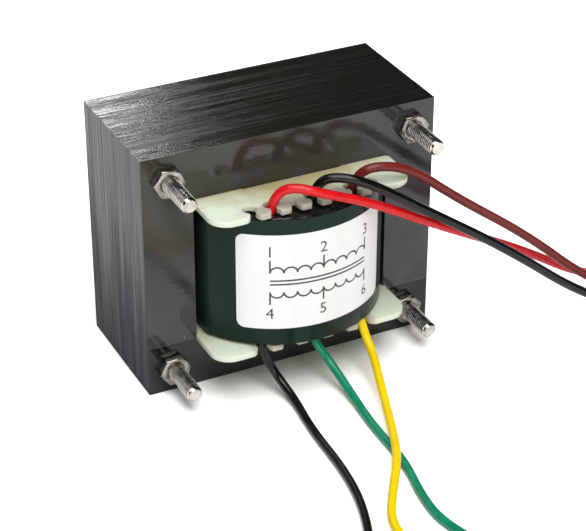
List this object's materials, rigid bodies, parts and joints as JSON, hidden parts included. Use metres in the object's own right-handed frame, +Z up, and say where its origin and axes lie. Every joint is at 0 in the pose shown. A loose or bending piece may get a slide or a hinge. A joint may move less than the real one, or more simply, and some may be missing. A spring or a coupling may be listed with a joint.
{
  "type": "audio transformer",
  "caption": "Output transformer on a bolted E and I core, with a wound bobbin, a white label on its green wrap, and coloured flying leads.",
  "frame": {"origin": "middle of the core's flat underside", "axes": "+Z up along the core's legs, +X to the right across the core, -Y forward, the way that the clamp bolts and the lower leads point"},
  "size_m": [0.1561, 0.1777, 0.0635],
  "materials": {
    "core_steel": "glossy varnish over dark steel",
    "bobbin_plastic": "translucent moulded nylon",
    "copper_wire": "enamelled copper",
    "insulation_tape": "polyester tape",
    "black_tape": "glossy tape",
    "green_wrap": "satin dark green tape",
    "white_label": "printed film",
    "plated_steel": "nickel plated, satin",
    "red_insulation": "silicone",
    "black_insulation": "silicone",
    "brown_insulation": "silicone",
    "green_insulation": "satin",
    "yellow_insulation": "satin",
    "tinned_strands": "tinned"
  },
  "bodies": {
    "root": {"upright_e_laminations": "core_steel", "lower_i_laminations": "core_steel", "inverted_e_laminations": "core_steel", "upper_i_laminations": "core_steel", "bobbin": "bobbin_plastic", "primary_winding_a": "copper_wire", "insulation_a": "insulation_tape", "secondary_winding_a": "copper_wire", "insulation_b": "insulation_tape", "primary_winding_b": "copper_wire", "insulation_c": "insulation_tape", "secondary_winding_b": "copper_wire", "insulation_d": "insulation_tape", "primary_winding_c": "copper_wire", "lower_end_tape": "black_tape", "upper_end_tape": "black_tape", "outer_wrap": "green_wrap", "label": "white_label", "clamp_bolts": "plated_steel", "clamp_nuts": "plated_steel", "spring_washers": "plated_steel", "flat_washers": "plated_steel", "red_lead": "red_insulation", "black_upper_lead": "black_insulation", "brown_lead": "brown_insulation", "black_lower_lead": "black_insulation", "green_lead": "green_insulation", "yellow_lead": "yellow_insulation", "red_lead_tip": "tinned_strands", "black_upper_lead_tip": "tinned_strands", "brown_lead_tip": "tinned_strands", "black_lower_lead_tip": "tinned_strands", "green_lead_tip": "tinned_strands", "yellow_lead_tip": "tinned_strands"}
  },
  "joints": []
}
